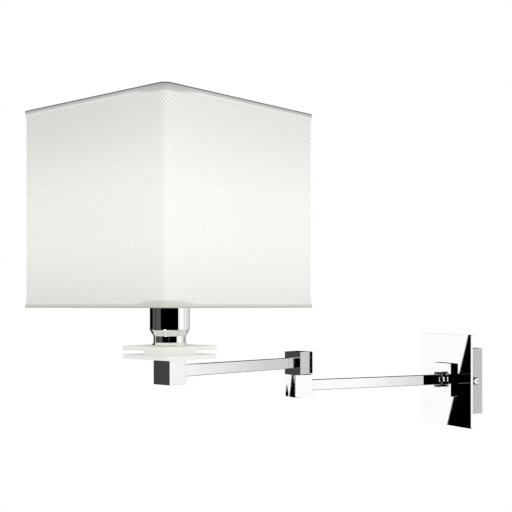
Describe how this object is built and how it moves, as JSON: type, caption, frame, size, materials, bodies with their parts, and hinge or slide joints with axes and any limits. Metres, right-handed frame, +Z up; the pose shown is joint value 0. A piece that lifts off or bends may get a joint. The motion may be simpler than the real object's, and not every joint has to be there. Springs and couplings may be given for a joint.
{
  "type": "swing arm wall sconce",
  "caption": "Chrome wall light: a square plate, two flat arms on upright swing pivots, and a square woven shade over a lampholder on frosted glass plates.",
  "frame": {"origin": "centre of the wall box on the wall face", "axes": "-Y out of the wall into the room, +Z up, X along the wall"},
  "size_m": [0.2843, 0.6008, 0.3675],
  "materials": {
    "chrome": "mirror-polished chrome plate",
    "satin_steel": "satin nickel-plated steel",
    "zinc_steel": "zinc-plated steel",
    "brass": "turned brass",
    "frosted_glass": "acid-etched glass with polished arrises",
    "nylon": "moulded natural nylon",
    "black_rubber": "moulded rubber",
    "black_plastic": "moulded black plastic",
    "white_enamel": "white enamel on steel wire",
    "shade_fabric": "plain-woven off-white cloth laminated to a lining",
    "trim_fabric": "off-white cloth band",
    "bulb_glass": "white frosted bulb",
    "wire_insulation": "black PVC insulated wire"
  },
  "bodies": {
    "wall": {"wall_bracket": "zinc_steel", "cable_grommet": "black_rubber", "terminal_block": "nylon", "terminal_screws": "brass", "earth_screw": "brass", "wall_box": "satin_steel", "box_side_screws": "chrome", "front_plate": "chrome", "wire_bush": "black_rubber", "rosette": "chrome", "rosette_screws": "zinc_steel", "wall_pivot_pins": "satin_steel", "wall_pivot_washers": "nylon", "wall_wires": "wire_insulation"},
    "rear_arm": {"rear_arm_bar": "chrome", "wall_pivot_barrel": "chrome", "rear_elbow_block": "chrome", "rear_elbow_cap": "chrome", "elbow_pivot_tube": "brass", "elbow_lower_nut": "brass", "elbow_washer": "nylon", "elbow_thrust_washer": "nylon", "elbow_lock_nut": "brass", "elbow_stop_pin": "zinc_steel", "rear_arm_wires": "wire_insulation"},
    "front_arm": {"front_elbow_block": "chrome", "front_elbow_cap": "chrome", "front_arm_bar": "chrome", "lamp_block": "chrome", "lamp_block_cap": "chrome", "lamp_nipple": "brass", "nipple_nut": "brass", "lower_glass": "frosted_glass", "glass_spacer": "frosted_glass", "upper_glass": "frosted_glass", "cup_base_ring": "chrome", "lampholder_cup": "chrome", "cup_nut": "brass", "holder_body": "black_plastic", "screw_shell": "brass", "centre_contact": "brass", "lower_shade_ring": "black_plastic", "upper_shade_ring": "black_plastic", "shade_carrier": "white_enamel", "bottom_frame": "white_enamel", "top_frame": "white_enamel", "shade_fabric": "shade_fabric", "bottom_trim": "trim_fabric", "top_trim": "trim_fabric", "bulb_cap": "brass", "bulb_glass": "bulb_glass", "front_arm_wires": "wire_insulation"}
  },
  "joints": [
    {"name": "wall_swing", "type": "hinge", "parent": "wall", "child": "rear_arm", "pos_m": [0, -0.0398, 0], "axis": [0, 0, 1], "range_deg": [-80, 80]},
    {"name": "elbow_swing", "type": "hinge", "parent": "rear_arm", "child": "front_arm", "pos_m": [0, -0.2538, 0.01415], "axis": [0, 0, 1], "range_deg": [-156.4, 113.6]}
  ]
}
